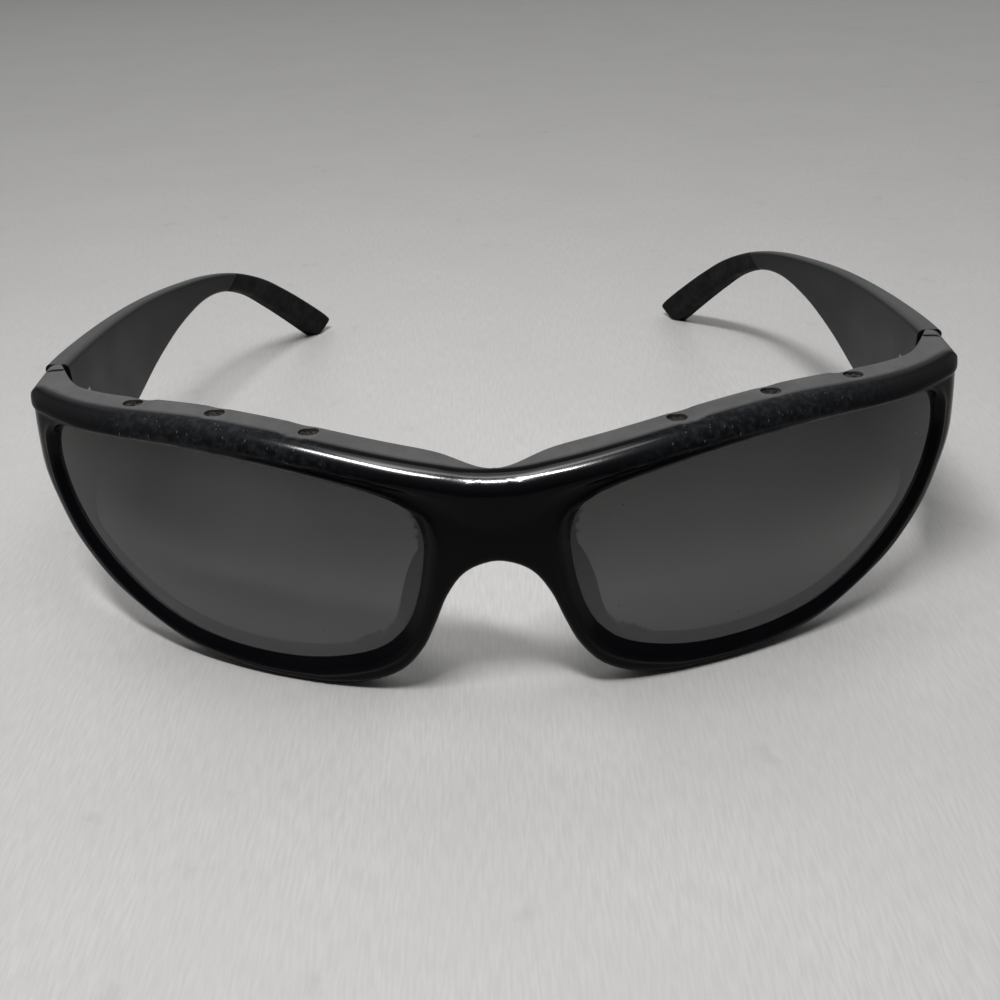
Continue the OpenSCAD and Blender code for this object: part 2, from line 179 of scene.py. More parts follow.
ROUNDED_EDGE = outer_edge(np.arange(TOP_END + 1, ARCH_END + 0.01, 0.25))
LENS_EDGE_CURVE = lens_edge(np.arange(0, STEPS, 0.1))


def edge_gap(p):
    """Distance from each point to the front's rounded outer edge."""
    a, b = ROUNDED_EDGE[:-1], ROUNDED_EDGE[1:]
    u = b - a
    to = p[:, None, :] - a[None]
    t = np.clip((to * u).sum(-1) / (u * u).sum(-1), 0, 1)
    return np.linalg.norm(to - u * t[..., None], axis=-1).min(1)


def to_lens_edge(p):
    """Distance from each point to the nearest point of the lens opening's edge."""
    to = p[:, None, :] - LENS_EDGE_CURVE[None]
    return np.linalg.norm(to, axis=-1).min(1)


def brow_face(x, u):
    """Depth of the rolled brow and of the hollow under it, u below the top edge."""
    over = 1 - np.maximum(u, 0) / ROLL_H
    roll = RIDGE_D - (RIDGE_D + ROLL_OUT) * np.sqrt(np.clip(1 - over ** 2, 0, 1))
    hollow = -ROLL_OUT * (1 - smooth((u - ROLL_H) / (1.1 + 4.9 * np.exp(-(x / 9) ** 2))))
    return np.where(u < ROLL_H, roll, hollow)


def round_at(x):
    """Radius of the rounded outer edge, a little bigger near the endpiece."""
    return EDGE_R + END_ROUND * smooth((x - 60) / 8)


def rounding(v, r):
    return r * (1 - np.sqrt(1 - np.clip(1 - v / r, 0, 1) ** 2))


def face_d(p):
    x, z = p[:, 0], p[:, 1]
    round_off = rounding(edge_gap(p), round_at(np.abs(x)))
    return brow_face(x, top_z(x) - z) + round_off * smooth((38 - z) / 4)


def endpiece_at(x, z):
    """How far the back has gone from rim to endpiece: a hollow curve at the top, steeper below."""
    return (smooth((z - 13) / 5)
            * np.minimum(np.maximum(x - 63, 0) / (4.8 + 2.2 * smooth((z - 32) / 3)), 1) ** 2.6)


def back_d(p):
    x, z = p[:, 0], p[:, 1]
    u = top_z(x) - z
    rim = (RIM_DEPTH + (BROW_DEPTH - RIM_DEPTH) * (1 - smooth((u - 4) / 3))
           - 4 * np.exp(-(x / 5.5) ** 2) * (1 - smooth((u - 1) / 6)))
    return mix(rim, SEAM_Y - wrap_y(x, z), endpiece_at(x, z))


# ---- Meshes ----
def add_object(name, data):
    obj = bpy.data.objects.new(name, data)
    bpy.context.scene.collection.objects.link(obj)
    return obj


def edit(mesh, change):
    """Changes a mesh by a function of its editable copy."""
    bm = bmesh.new()
    bm.from_mesh(mesh)
    change(bm)
    bm.to_mesh(mesh)
    bm.free()


def make_object(name, points, faces, smooth_angle=30):
    """A new object from points in millimetres, smooth but for edges over that angle."""
    mesh = bpy.data.meshes.new(name)
    mesh.from_pydata((np.asarray(points) * MM).tolist(), [], faces)
    mesh.validate()
    obj = add_object(name, mesh)
    shade(obj, smooth_angle)
    return obj


def shade(obj, angle):
    """Smooth shading, but for edges over that angle."""
    def change(bm):
        bmesh.ops.recalc_face_normals(bm, faces=bm.faces)
        for f in bm.faces:
            f.smooth = True
        for e in bm.edges:
            e.smooth = len(e.link_faces) == 2 and e.calc_face_angle(0) < math.radians(angle)
    edit(obj.data, change)


def skin(rings, closed=False):
    """Points and faces over a row of closed rings of the same length."""
    rings = np.asarray(rings)
    n, m = rings.shape[:2]
    faces = []
    for i in range(n if closed else n - 1):
        k = (i + 1) % n
        for j in range(m):
            l = (j + 1) % m
            faces.append((i * m + j, i * m + l, k * m + l, k * m + j))
    if not closed:
        faces.append(tuple(range(m)))
        faces.append(tuple(range(n * m - 1, (n - 1) * m - 1, -1)))
    return rings.reshape(-1, 3), faces


def obround(length, width, low, high, centre, sides=20):
    """Upright block with round ends, along X."""
    half = (length - width) / 2
    ring = []
    for k in range(2 * (sides + 1)):
        right = k <= sides
        angle = math.radians(-90 + 180 * (k if right else k - 1) / sides)
        ring.append((centre[0] + (half if right else -half) + width / 2 * math.cos(angle),
                     centre[1] + width / 2 * math.sin(angle)))
    return skin([[(x, y, z) for x, y in ring] for z in (low, high)])


def block(low, high):
    (x0, y0, z0), (x1, y1, z1) = low, high
    return skin([[(x0, y0, z), (x1, y0, z), (x1, y1, z), (x0, y1, z)] for z in (z0, z1)])


def post(centre, r, low, high, sides=48):
    ring = [(centre[0] + r * math.cos(2 * math.pi * k / sides),
             centre[1] + r * math.sin(2 * math.pi * k / sides)) for k in range(sides)]
    return skin([[(x, y, z) for x, y in ring] for z in (low, high)])


def ball(centre, r, sides=72):
    rings = []
    for i in range(1, sides // 2):
        a = math.pi * i / (sides // 2)
        rings.append([(centre[0] + r * math.sin(a) * math.cos(2 * math.pi * k / sides),
                       centre[1] + r * math.sin(a) * math.sin(2 * math.pi * k / sides),
                       centre[2] - r * math.cos(a)) for k in range(sides)])
    return skin(rings)


def barrel_room():
    """The round space in the front and the temple that the hinge's barrels turn in."""
    return post((AXIS_X, AXIS_Y), BARREL_R + BARREL_ROOM, HINGE_Z - ROOM_BELOW,
                HINGE_Z + HINGE_H + ROOM_ABOVE)


def both_sides(parts):
    """Each (points, faces) part and its mirror image, gathered into one."""
    points, faces, count = [], [], 0
    for side in (1, -1):
        for p, f in parts:
            p = np.asarray(p, float) * (side, 1, 1)
            points.append(p)
            faces += [tuple(count + i for i in (q if side > 0 else q[::-1])) for q in f]
            count += len(p)
    return np.concatenate(points), faces


def join_points(bm, gap):
    """Joins points nearer than gap and takes out the flat slivers, two faces on the same
    points, that a cut or a hair-thin step leaves."""
    bmesh.ops.remove_doubles(bm, verts=bm.verts, dist=gap)
    bmesh.ops.dissolve_degenerate(bm, edges=bm.edges, dist=gap / 10)
    bmesh.ops.triangulate(bm, faces=[f for f in bm.faces if len(f.verts) > 4])
    same = {}
    for f in bm.faces:
        same.setdefault(frozenset(f.verts), []).append(f)
    slivers = [f for group in same.values() if len(group) > 1 for f in group]
    bmesh.ops.delete(bm, geom=slivers, context="FACES")


def cut_away(obj, points, faces):
    """Takes closed shapes that don't touch each other out of a closed mesh."""
    tool = make_object("cutter", points, faces)
    cut = obj.modifiers.new("cut", "BOOLEAN")
    cut.operation, cut.solver, cut.object = "DIFFERENCE", "EXACT", tool
    mesh = bpy.data.meshes.new_from_object(obj.evaluated_get(bpy.context.evaluated_depsgraph_get()))
    if len(mesh.vertices) == len(obj.data.vertices):
        raise RuntimeError(f"nothing was cut out of {obj.name}")
    obj.modifiers.clear()
    edit(mesh, lambda bm: join_points(bm, SAME_PLACE))
    obj.data = mesh
    bpy.data.objects.remove(tool)


def set_attribute(obj, name, values):
    made = obj.data.attributes.new(name, "FLOAT", "POINT")
    made.data.foreach_set("value", np.asarray(values, np.float32))


def vertex_mm(obj):
    co = np.zeros(len(obj.data.vertices) * 3)
    obj.data.vertices.foreach_get("co", co)
    return co.reshape(-1, 3) / MM


def finish_piece(obj, material, body, slot, *nodes, pad=None):
    obj.data.materials.clear()
    obj.data.materials.append(material)
    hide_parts(*nodes)
    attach(obj, body)
    return obj


def mirror_piece(obj, name):
    """The wearer's right-hand piece, as the mirror image of the left one."""
    mesh = obj.data.copy()
    mesh.transform(Matrix.Scale(-1, 4, (1, 0, 0)))
    mesh.flip_normals()
    return add_object(name, mesh)


def pair(obj, base, material, body, slot, pad=None):
    """Finishes a left-hand piece and its mirror image; body is front or temple."""
    right = mirror_piece(obj, base + "_right_fine")
    for piece, side in ((obj, "left"), (right, "right")):
        finish_piece(piece, material, body if body == "front" else f"{body}_{side}", slot,
                     f"{base}_{side}", pad=pad)


# ---- Materials ----
class Finish:
    """A node material under construction: one Principled shader and its textures, in millimetres."""

    def __init__(self, name, colour, roughness, **constants):
        self.material = bpy.data.materials.new(name)
        self.material.use_nodes = True
        self.tree = self.material.node_tree
        self.shader = self.tree.nodes["Principled BSDF"]
        self.shader.inputs["Base Color"].default_value = (*colour, 1)
        self.shader.inputs["Roughness"].default_value = roughness
        for socket, value in constants.items():
            self.shader.inputs[socket.replace("_", " ")].default_value = value
        place = self.node("ShaderNodeTexCoord")
        scale = self.node("ShaderNodeMapping")
        scale.inputs["Scale"].default_value = (1 / MM,) * 3
        self.link(place.outputs["Object"], scale.inputs["Vector"])
        self.place = scale.outputs["Vector"]

    def node(self, kind, **settings):
        made = self.tree.nodes.new(kind)
        for key, value in settings.items():
            setattr(made, key, value)
        return made

    def link(self, a, b):
        self.tree.links.new(a, b)

    def to(self, value, socket):
        """Links an output, or sets a plain value, on a socket."""
        if isinstance(value, bpy.types.NodeSocket):
            self.link(value, socket)
        else:
            socket.default_value = value

    def math(self, operation, a, b=0.0):
        made = self.node("ShaderNodeMath", operation=operation)
        for value, socket in zip((a, b), made.inputs):
            self.to(value, socket)
        return made.outputs[0]

    def range(self, value, low, high, to_low=0.0, to_high=1.0):
        made = self.node("ShaderNodeMapRange", interpolation_type="SMOOTHSTEP")
        for v, socket in zip((value, low, high, to_low, to_high), made.inputs):
            self.to(v, socket)
        return made.outputs[0]

    def blend(self, amount, a, b):
        made = self.node("ShaderNodeMix", data_type="RGBA")
        self.to(amount, made.inputs[0])
        self.to(a if isinstance(a, bpy.types.NodeSocket) else (*a, 1), made.inputs[6])
        self.to(b if isinstance(b, bpy.types.NodeSocket) else (*b, 1), made.inputs[7])
        return made.outputs[2]

    def turned(self, degrees=(0, 0, 0), scale=(1, 1, 1), shift=(0, 0, 0)):
        made = self.node("ShaderNodeMapping")
        made.inputs["Rotation"].default_value = [math.radians(d) for d in degrees]
        made.inputs["Scale"].default_value = scale
        made.inputs["Location"].default_value = shift
        self.link(self.place, made.inputs["Vector"])
        return made.outputs["Vector"]

    def noise(self, scale, detail=2.0, place=None):
        made = self.node("ShaderNodeTexNoise")
        made.inputs["Scale"].default_value = scale
        made.inputs["Detail"].default_value = detail
        self.link(place or self.place, made.inputs["Vector"])
        return made.outputs["Fac"]

    def cells(self, scale, place=None):
        """Distance to the nearest of many scattered points."""
        made = self.node("ShaderNodeTexVoronoi")
        made.inputs["Scale"].default_value = scale
        self.link(place or self.place, made.inputs["Vector"])
        return made.outputs["Distance"]

    def specks(self, density, size, place=None):
        """1 on small scattered spots of about that size, which fade at their edge."""
        return self.range(self.cells(density, place), size * density, size * density * 0.5)

    def attribute(self, name):
        return self.node("ShaderNodeAttribute", attribute_name=name).outputs["Fac"]

    def bump(self, height, distance_mm, strength, after=None):
        made = self.node("ShaderNodeBump")
        made.inputs["Strength"].default_value = strength
        made.inputs["Distance"].default_value = distance_mm * MM
        self.link(height, made.inputs["Height"])
        if after:
            self.link(after, made.inputs["Normal"])
        return made.outputs["Normal"]

    def set(self, socket, value):
        self.to(value, self.shader.inputs[socket])


# The front's point attributes: where it is polished, brightest, worn, dusty (with painted top light),
# bevelled, and painted with the bench's reflection
ZONES = ("polish", "crown", "wear", "top", "bevel", "lip")


def front_plastic(looks):
    """Black nylon: polished along the rolled brow, satin on the face, matt and dusty on top with painted top
    light, and a painted reflection of the bench along each lens opening's upper edge.
    """
    f = Finish("front_plastic", looks.frame_colour, 0.35, IOR=1.5, Specular_IOR_Level=0.08,
               Coat_Roughness=0.15, Coat_IOR=1.75)
    polish, crown, wear, top, bevel, lip = (f.attribute(name) for name in ZONES)
    cloud = f.noise(0.12, 4)
    grain = f.noise(9, 2)
    # dust on the top face, whose pale colour is also painted top light
    dust = f.math("MULTIPLY", f.range(f.noise(0.3, 5), 0.3, 0.7, 0.82, 1), top)
    nick_lines = f.specks(2.0, 0.05, f.turned((0, 74, 0), (1, 0.3, 0.12)))
    nick_cross = f.specks(1.7, 0.055, f.turned((0, -40, 0), (1, 0.3, 0.12), (5, 0, 2)))
    long_scratch = f.specks(0.18, 0.05, f.turned((0, 5, 0), (1, 1, 0.02), (2, 3, 1)))
    dots = f.specks(0.9, 0.06, f.turned(shift=(3, 1, 7)))
    nicks = f.math("MAXIMUM", f.math("MAXIMUM", nick_lines, nick_cross), dots)
    nicks = f.math("MULTIPLY", nicks, f.range(f.math("MULTIPLY", wear, f.noise(0.3, 4)), 0.24, 0.5))
    scratches = f.math("MULTIPLY", long_scratch, f.math("MULTIPLY", polish, 0.6))
    black = tuple(c * 0.85 for c in looks.frame_colour)
    colour = f.blend(f.range(cloud, 0.42, 0.58), black, tuple(c * 1.12 for c in black))
    # dust and painted top light on the top face
    colour = f.blend(f.math("MULTIPLY", dust, 0.85), colour, looks.dust_and_top_light_colour)
    # painted reflection of the pale bench along the upper edge of each lens opening
    colour = f.blend(f.math("MULTIPLY", lip, 0.85), colour, looks.lip_colour)
    haze = f.math("MULTIPLY", wear, f.range(f.noise(1.1, 5), 0.4, 0.75, 0.02, 0.16))
    colour = f.blend(haze, colour, (0.09, 0.1, 0.115))
    bare = f.math("MAXIMUM", f.math("MULTIPLY", nicks, 0.32), f.math("MULTIPLY", scratches, 0.5))
    colour = f.blend(bare, colour, looks.nick_colour)
    f.set("Base Color", colour)
    rough = f.range(polish, 0, 1, 0.4, looks.polished_roughness)
    rough = f.math("ADD", rough, f.math("MULTIPLY", wear, 0.16))
    rough = f.math("ADD", rough, f.range(cloud, 0.42, 0.58, -0.02, 0.025))
    rough = f.math("SUBTRACT", rough, f.math("MULTIPLY", bevel, 0.18))
    rough = f.math("SUBTRACT", rough, f.math("MULTIPLY", lip, 0.06))
    rough = f.math("ADD", rough, f.math("MULTIPLY", f.math("MAXIMUM", nicks, scratches), 0.2))
    f.set("Roughness", rough)
    f.set("Coat Weight", crown)
    fine = f.bump(grain, 0.006, 0.5)
    waves = f.bump(f.noise(0.3, 1), 0.015, 0.3, fine)
    f.set("Normal", f.bump(f.math("MAXIMUM", nicks, scratches), 0.02, 0.4, waves))
    return f.material


def temple_plastic(looks):
    """Satin black nylon with faint flow marks and rubs; upward faces paler with dust and painted top light.
    """
    f = Finish("temple_plastic", looks.frame_colour, 0.42, IOR=1.5, Specular_IOR_Level=0.2)
    cloud = f.noise(0.07, 5)
    rubs = f.specks(0.28, 0.2, f.turned((20, 0, 0), (1, 0.12, 1)))
    rubs = f.math("MULTIPLY", rubs, f.range(f.noise(0.05, 2), 0.5, 0.65))
    light = tuple(c * 1.6 + 0.004 for c in looks.frame_colour)
    colour = f.blend(f.range(cloud, 0.3, 0.7), looks.frame_colour, light)
    colour = f.blend(f.math("MULTIPLY", rubs, 0.35), colour, looks.nick_colour)
    upward = f.node("ShaderNodeSeparateXYZ")
    f.link(f.node("ShaderNodeNewGeometry").outputs["Normal"], upward.inputs[0])
    # dust and painted top light: faces turned upwards are paler
    colour = f.blend(f.range(upward.outputs["Z"], 0.45, 0.95, 0, 0.4), colour, looks.dust_and_top_light_colour)
    f.set("Base Color", colour)
    f.set("Roughness", f.range(cloud, 0.3, 0.75, 0.36, 0.48))
    f.set("Normal", f.bump(f.noise(8, 2), 0.008, 0.5))
    return f.material


def rubber(name, colour, grain_mm):
    """Matt rubber with a fine pebbled surface and a bloom of dust."""
    f = Finish(name, colour, 0.62, IOR=1.5, Specular_IOR_Level=0.12)
    cloud = f.noise(0.2, 5)
    pale = tuple(c * 1.5 + 0.006 for c in colour)
    f.set("Base Color", f.blend(f.range(cloud, 0.35, 0.75), colour, pale))
    f.set("Roughness", f.range(f.noise(0.6, 3), 0.3, 0.7, 0.55, 0.72))
    f.set("Normal", f.bump(f.cells(1 / grain_mm), 0.03, 0.35, f.bump(f.noise(1.2, 3), 0.02, 0.3)))
    return f.material


def foam(name, colour, dust, pore_mm):
    """Open-cell foam: dusty strands between pores, which are darkened with painted shade."""
    f = Finish(name, colour, 0.9, IOR=1.5, Specular_IOR_Level=0.2)
    pores = f.range(f.cells(1 / pore_mm), 0.15, 0.6)
    grime = f.range(f.noise(1.5, 4), 0.35, 0.7)
    strands = f.blend(f.math("MULTIPLY", grime, 0.8), tuple(c * 2 for c in colour), dust)
    # painted shade: the pores are darker than the strands
    f.set("Base Color", f.blend(pores, tuple(c * 0.3 for c in colour), strands))
    f.set("Roughness", f.range(grime, 0, 1, 0.82, 0.96))
    f.set("Normal", f.bump(pores, pore_mm * 0.6, 0.9))
    return f.material


def lens_glass(looks):
    """Dark neutral tint that lets straight light through, with smears and a little dust, and paler towards
    the bottom with a painted reflection of the bench.
    """
    f = Finish("lens_tint", looks.lens_colour, 0.05, IOR=1.58)
    specks = f.specks(0.22, 0.16)
    pale = f.math("MULTIPLY", specks, f.range(f.noise(0.6, 1), 0.52, 0.56))
    dark = f.specks(0.26, 0.17, f.turned(shift=(2, 5, 1)))
    dark = f.math("MULTIPLY", dark, f.range(f.noise(0.5, 1), 0.54, 0.58))
    hair = f.math("MULTIPLY", f.specks(0.06, 0.09, f.turned((0, 52, 0), (1, 1, 0.12), (4, 0, 9))), 0.8)
    film = f.range(f.noise(0.09, 5), 0.35, 0.75)
    height = f.node("ShaderNodeSeparateXYZ")
    f.link(f.place, height.inputs[0])
    # painted reflection of the bench: paler towards the bottom of the lens
    low_reflection = f.range(height.outputs["Z"], 26, 2, 0, 0.8)
    film = f.math("ADD", f.math("MULTIPLY", film, 0.12), low_reflection)
    colour = f.blend(film, looks.lens_colour, looks.film_and_reflection_colour)
    colour = f.blend(f.math("MULTIPLY", pale, 0.55), colour, (0.32, 0.33, 0.35))
    colour = f.blend(f.math("MAXIMUM", dark, hair), colour, (0.004, 0.004, 0.004))
    f.set("Base Color", colour)
    marks = f.math("MAXIMUM", f.math("MAXIMUM", pale, dark), hair)
    # painted shade: the lens is made more opaque towards the top and where the wrap turns it towards the
    # temple
    temple_side_shade = f.range(f.math("ABSOLUTE", height.outputs["X"]), 34, 64, 0, 0.13)
    painted_lens_shade = f.math("MULTIPLY", f.math("ADD", temple_side_shade, 0.06), f.range(height.outputs["Z"], 10, 30))
    tint = f.math("ADD", painted_lens_shade, looks.lens_density)
    f.set("Alpha", f.math("ADD", f.math("MULTIPLY", marks, 0.6), tint))
    rough = f.math("ADD", f.range(film, 0, 1, 0.03, 0.11), f.math("MULTIPLY", marks, 0.3))
    f.set("Roughness", rough)
    return f.material


def steel(name, colour, roughness, along):
    """Drawn steel with fine lines along one direction and a few dull spots."""
    f = Finish(name, colour, roughness, Metallic=1.0, Anisotropic=0.4)
    lines = f.noise(3, 3, f.turned(scale=along))
    spots = f.range(f.noise(0.8, 4), 0.55, 0.75)
    dull = tuple(c * 0.45 for c in colour)
    f.set("Base Color", f.blend(f.math("MULTIPLY", spots, 0.7), colour, dull))
    f.set("Roughness", f.math("ADD", f.range(lines, 0.3, 0.7, roughness - 0.08, roughness + 0.1),
                              f.math("MULTIPLY", spots, 0.15)))
    f.set("Normal", f.bump(lines, 0.01, 0.4))
    return f.material


def bench(stage):
    """Pale bench top with faint brushed streaks."""
    f = Finish("bench", stage.floor_colour, 0.6, IOR=1.4, Specular_IOR_Level=0.3)
    streaks = f.noise(2.4, 5, f.turned((0, 0, 4), (1, 0.1, 1)))
    cloud = f.noise(0.03, 4)
    low, high = (tuple(c * k for c in stage.floor_colour) for k in (0.93, 1.05))
    colour = f.blend(f.range(streaks, 0.28, 0.72), low, high)
    smudge = f.math("MULTIPLY", f.range(f.noise(0.12, 5), 0.62, 0.74), f.range(cloud, 0.5, 0.6, 0, 0.3))
    colour = f.blend(f.range(cloud, 0.35, 0.65, 0, 0.35), colour, low)
    f.set("Base Color", f.blend(smudge, colour, tuple(c * 0.7 for c in stage.floor_colour)))
    f.set("Roughness", f.range(streaks, 0.3, 0.7, 0.5, 0.65))
    return f.material


# ---- Settings ----
def colour_setting(name, text, value):
    return FloatVectorProperty(name=name, description=text, subtype="COLOR", size=3, min=0, max=1,
                               default=value)


class SunglassesSizes(bpy.types.PropertyGroup):
    bead_height: FloatProperty(
        name="Rim Bead", description="Height of the soft bead round each lens opening",
        subtype="DISTANCE", unit="LENGTH", default=0.00028, min=0, max=0.0006)
    edge_softness: FloatProperty(
        name="Edge Softness", description="Rounding of the edge between bevel and face",
        subtype="DISTANCE", unit="LENGTH", default=0.00035, min=0.00005, max=0.001)
    foam_crumble: FloatProperty(
        name="Foam Crumble", description="How far the perished foam's edge wanders",
        subtype="DISTANCE", unit="LENGTH", default=0.0009, min=0, max=0.002)


class SunglassesLooks(bpy.types.PropertyGroup):
    frame_colour: colour_setting("Frame", "Black nylon of the front and temples",
                                 (0.0032, 0.0034, 0.0042))
    # This colour is a painted reflection of the pale bench along the upper edge of each lens opening.
    lip_colour: colour_setting("Lip", "Bare edge of the lip along each lens opening",
                               (0.21, 0.212, 0.216))
    # This colour is dust and also painted top light on the upward faces of the front and temples.
    dust_and_top_light_colour: colour_setting("Dust", "Dust on the upper surfaces", (0.108, 0.108, 0.106))
    nick_colour: colour_setting("Nicks", "Bare plastic in nicks and scratches", (0.42, 0.43, 0.45))
    lens_colour: colour_setting("Lens", "Tint of the lenses", (0.0065, 0.0065, 0.0072))
    # This colour serves the smears and the painted reflection of the bench low on the lenses.
    film_and_reflection_colour: colour_setting("Lens Film", "Dust film that settles low on the lenses",
                                (0.105, 0.105, 0.108))
    grip_colour: colour_setting("Grips", "Rubber of the ear grips", (0.0035, 0.0038, 0.0046))
    pad_colour: colour_setting("Nose Pads", "Rubber of the nose pads", (0.012, 0.012, 0.013))
    foam_colour: colour_setting("Foam", "Foam in the vents and along the lenses", (0.012, 0.011, 0.01))
    steel_colour: colour_setting("Steel", "Hinge leaves and screws", (0.42, 0.42, 0.43))
    lens_density: FloatProperty(
        name="Lens Density", description="Share of the light that each face of a lens holds back",
        subtype="FACTOR", default=0.75, min=0, max=1)
    polished_roughness: FloatProperty(
        name="Polished Roughness", description="Roughness of the brow where it is polished by wear",
        subtype="FACTOR", default=0.1, min=0, max=1)


class SunglassesStage(bpy.types.PropertyGroup):
    floor_colour: colour_setting("Floor", "Colour of the bench top", (0.57, 0.56, 0.546))
    overhead_power: FloatProperty(
        name="Overhead Lamp", description="Power of the lamp above the front",
        subtype="POWER", default=1.7, min=0)
    back_power: FloatProperty(
        name="Back Lamps", description="Power of each of the two lamps behind the temples",
        subtype="POWER", default=0.75, min=0)
    top_power: FloatProperty(
        name="Top Lamp", description="Power of the lamp over the space between the temples",
        subtype="POWER", default=0.1, min=0)
    camera_lens: FloatProperty(
        name="Lens", description="Focal length of the camera in millimetres",
        default=42.34, min=20, max=120)


# ---- Operators ----
class SUNGLASSES_OT_front(bpy.types.Operator):
    """Build the moulded front: rims, rolled brow, bridge, vents and endpieces"""
    bl_idname = "sunglasses.front"
    bl_label = "Front"
    per_step, last_step = 12, 28

    def rings(self, sizes):
        bead, soft = sizes.bead_height / MM, sizes.edge_softness / MM
        # the last step runs up the middle over the roll, with its stations closer towards the top
        climb = np.sin(np.pi / 2 * np.arange(self.last_step) / self.last_step)
        s = np.concatenate([np.arange((STEPS - 1) * self.per_step) / self.per_step, STEPS - 1 + climb])
        a, b = lens_edge(s), outer_edge(s)
        w = np.linalg.norm(b - a, axis=1)
        middle = s >= ARCH_END
        over = np.minimum(smooth(1.5 - np.abs(s - 4.5) / 4.5) + smooth(s - STEPS + 1.5) * 0.5, 1)
        bev = mix(BEVEL, TOP_BEVEL, over)
        zone = mix(round_at(b[:, 0]), ROLL_H, over)
        reach = ENDPIECE_IN * smooth((s - 8) / 1.5) * smooth((14.5 - s) / 1.5)

        def at(t):
            """Points t from the lens edge towards the outer edge."""
            return a + (b - a) * (t / w)[:, None]

        crest = face_d(at(bev)) - LIP_OUT * over
        room = np.clip((w - zone - bev) / 1.2, 0.3, 1)

        def front_depth(t):
            """Bevel and face, with the soft bead where they meet."""
            p = at(t)
            wall = LENS_D - PLAY + (crest - bead - LENS_D + PLAY) * t / bev
            face = face_d(p) - bead * room * np.exp(-((t - bev - 0.3 * room) / (0.42 * room)) ** 2)
            return np.where(t <= 0, LENS_D - PLAY, soft_max(wall, face, soft * np.minimum(1, t / bev)))

        loops = []
        for t in (0, 0.15, 0.35, 0.55, 0.72, 0.86, 0.95, 1.03):
            loops.append((at(t * bev), front_depth(t * bev)))
        for k in range(1, 15):
            t = mix(bev * 1.03, w - zone, (k / 14) ** 1.7)
            loops.append((at(t), front_depth(t)))
        for k in range(1, 14):
            t = w - zone * (1 - math.sin(math.radians(k * 90 / 13)))
            loops.append((at(t), front_depth(t)))
        near, far = face_d(b), back_d(b)
        corner = np.where(middle, 0, BACK_R)
        for k in (0.15, 0.35, 0.6, 0.85, 1):
            loops.append((b, mix(near, far - corner, k)))
        for k in (30, 60):
            t = w - BACK_R * (1 - math.cos(math.radians(k)))
            loops.append((at(t), back_d(at(t)) - corner * (1 - math.sin(math.radians(k)))))
        for k in range(7):
            t = mix(w - BACK_R, BACK_R - reach, k / 6)
            loops.append((at(t), back_d(at(t))))
        for k in (30, 60, 90):
            t = BACK_R * (1 - math.sin(math.radians(k))) - reach
            loops.append((at(t), back_d(at(t)) - BACK_R * (1 - math.cos(math.radians(k)))))
        inner = at(-reach)
        behind = back_d(inner) - BACK_R
        for k in (0.35, 0.7, 1):
            loops.append((inner, mix(behind, RIM_DEPTH - 0.6, k)))
        loops.append((at(-reach * 0.4), np.full(len(s), RIM_DEPTH - 0.8)))
        loops.append((a, np.full(len(s), RIM_DEPTH - 0.9)))
        for k in (0.5, 1):
            loops.append((a, mix(RIM_DEPTH - 0.9, np.full(len(s), LENS_BACK), k)))
        loops.append((at(np.full(len(s), GROOVE)), np.full(len(s), LENS_BACK)))
        loops.append((at(np.full(len(s), GROOVE)), np.full(len(s), LENS_D - PLAY)))
        return np.stack([on_face(p, d) for p, d in loops], axis=1)

    def execute(self, context):
        rings = self.rings(context.scene.sunglasses_sizes)
        points, faces = skin(rings, closed=True)
        points[np.abs(points[:, 0]) < 1e-4, 0] = 0
        faces = [f for f in faces if max(points[i, 0] for i in f) > 0]
        points, faces = both_sides([(points, faces)])
        front = make_object("front_frame_fine", points, faces)
        edit(front.data, lambda bm: bmesh.ops.remove_doubles(bm, verts=bm.verts, dist=SAME_PLACE))
        holes, scoops = [], []
        for x in VENT_XS:
            z = float(top_z(x))
            y = float(wrap_y(x, z)) + VENT_D
            holes.append(obround(VENT_LEN, VENT_W, z - 8, z + 4, (x, y)))
            scoops.append(ball((x, y, z + SCOOP_R - SCOOP_DEEP), SCOOP_R))
        slot_z = float(top_z(SLOT_X)) - SLOT_DEEP
        slot_at = (SLOT_X, SEAM_Y - SLOT_BACK + SLOT_W / 2)
        holes.append(obround(SLOT_LEN, SLOT_W, slot_z, slot_z + 4, slot_at))
        holes.append(block((LEAF_X - LEAF_OPEN, AXIS_Y - LEAF_LEN - PLAY, HINGE_Z - PLAY),
                           (LEAF_X + LEAF_T + PLAY, AXIS_Y + 3, HINGE_Z + HINGE_H + PLAY)))
        scoops.append(barrel_room())
        cut_away(front, *both_sides(holes))
        cut_away(front, *both_sides(scoops))
        shade(front, 32)
        self.mark_zones(front)
        looks = context.scene.sunglasses_looks
        finish_piece(front, front_plastic(looks), "front", "frame_plastic", "front_frame")
        return {"FINISHED"}

    def mark_zones(self, front):
        """Marks the zones that the material reads: brow, dusty top with painted top light, bevel, and the
        upper edge of each lens opening, painted with a reflection of the bench.
        """
        p = vertex_mm(front)
        x, z = np.abs(p[:, 0]), p[:, 2]
        u = top_z(x) - z
        depth = p[:, 1] - wrap_y(np.minimum(x, 73), z)
        rolled = smooth((4.4 - u) / 1.6) * smooth((RIDGE_D + 0.1 - depth) / 0.7)
        polish = rolled * (1 - 0.75 * smooth((x - 20) / 26))
        set_attribute(front, "polish", mix(polish, 0.35, (1 - rolled) * smooth(2 - depth) * 0.6))
        crown = smooth((2.3 - u) / 1.1) * smooth((u - 0.3) / 0.3)
        set_attribute(front, "crown", crown * (1 - 0.85 * smooth((x - 12) / 22)))
        set_attribute(front, "wear", rolled * smooth((x - 14) / 16) * (1 - smooth((x - 50) / 14)))
